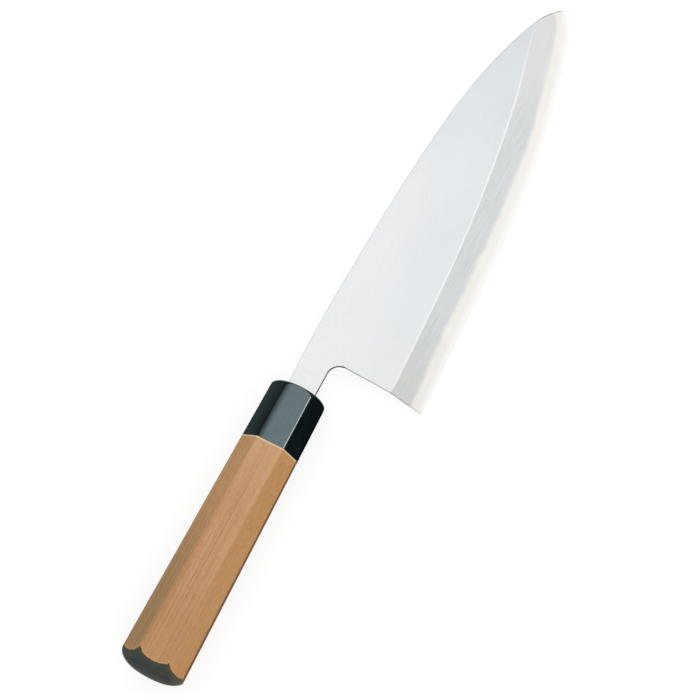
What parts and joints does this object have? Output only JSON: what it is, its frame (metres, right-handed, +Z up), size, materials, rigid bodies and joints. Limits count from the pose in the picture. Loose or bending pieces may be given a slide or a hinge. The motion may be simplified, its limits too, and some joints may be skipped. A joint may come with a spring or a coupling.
{
  "type": "deba knife",
  "caption": "Single-bevel laminated deba knife with an octagonal wooden handle, horn ferrule and rounded finger notch behind the heel.",
  "frame": {"origin": "bottom centre of the box round the knife as it lies on a table, front of the blade up", "axes": "+X along the knife from the butt to the tip, +Y from the edge side to the spine side, +Z up, out of the front of the blade"},
  "size_m": [0.3748, 0.0676, 0.0278],
  "materials": {
    "cladding_steel": "satin",
    "core_steel": "fine satin, polished along the edge",
    "horn": "polished black horn",
    "handle_wood": "fine straight grain, lightly waxed, dark sealed butt",
    "dowel_wood": "raw turned hardwood",
    "bedding_resin": "set resin",
    "mouth_resin": "black sealing resin"
  },
  "bodies": {
    "root": {"blade_cladding": "cladding_steel", "blade_core": "core_steel", "horn_ferrule": "horn", "handle_body": "handle_wood", "tang_dowel": "dowel_wood", "tang_bedding": "bedding_resin", "mouth_seal": "mouth_resin"}
  },
  "joints": []
}
